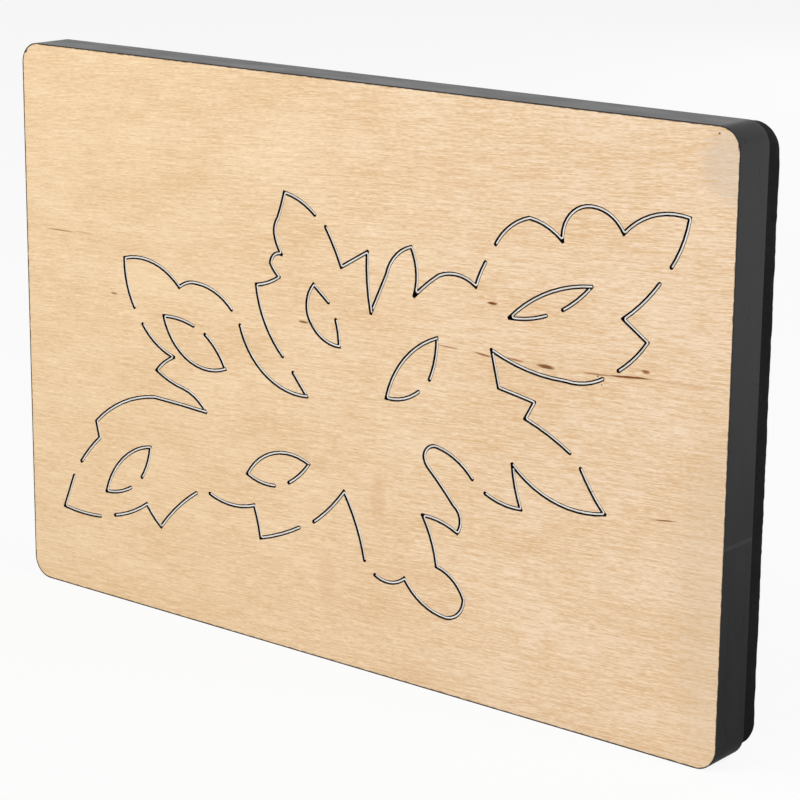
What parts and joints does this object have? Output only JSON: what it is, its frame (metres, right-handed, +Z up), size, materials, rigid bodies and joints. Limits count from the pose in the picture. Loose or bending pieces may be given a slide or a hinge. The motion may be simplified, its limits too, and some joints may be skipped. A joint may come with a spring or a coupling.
{
  "type": "steel rule die",
  "caption": "Steel rule die: slotted plywood board holding bent steel cutting rules in a leaf outline, with a dark edge band and black ejection foam on the cutting side.",
  "frame": {"origin": "middle of the lower long edge, at half the die's thickness", "axes": "+X along the long side, to the right as seen from the plywood face; +Y from the plywood face to the foam; +Z up along the short side"},
  "size_m": [0.2, 0.016, 0.133],
  "materials": {
    "plywood": "bare sanded birch plywood, charred dark inside the slots",
    "band": "dark grey matt edge band",
    "steel": "bright cold-rolled steel rule, bevelled to an edge",
    "foam": null
  },
  "bodies": {
    "root": {"die_board": "plywood", "edge_band": "band", "left_leaf_rule": "steel", "top_leaf_rule": "steel", "right_leaf_rule": "steel", "tail_upper_rule": "steel", "tail_lower_rule": "steel", "bottom_leaf_rule": "steel", "vein_rule_1": "steel", "vein_rule_2": "steel", "vein_rule_3": "steel", "vein_rule_4": "steel", "vein_rule_5": "steel", "vein_rule_6": "steel", "surround_foam": "foam", "leaf_foam": "foam", "vein_foam_1": "foam", "vein_foam_2": "foam", "vein_foam_3": "foam", "vein_foam_4": "foam", "vein_foam_5": "foam", "vein_foam_6": "foam"}
  },
  "joints": []
}
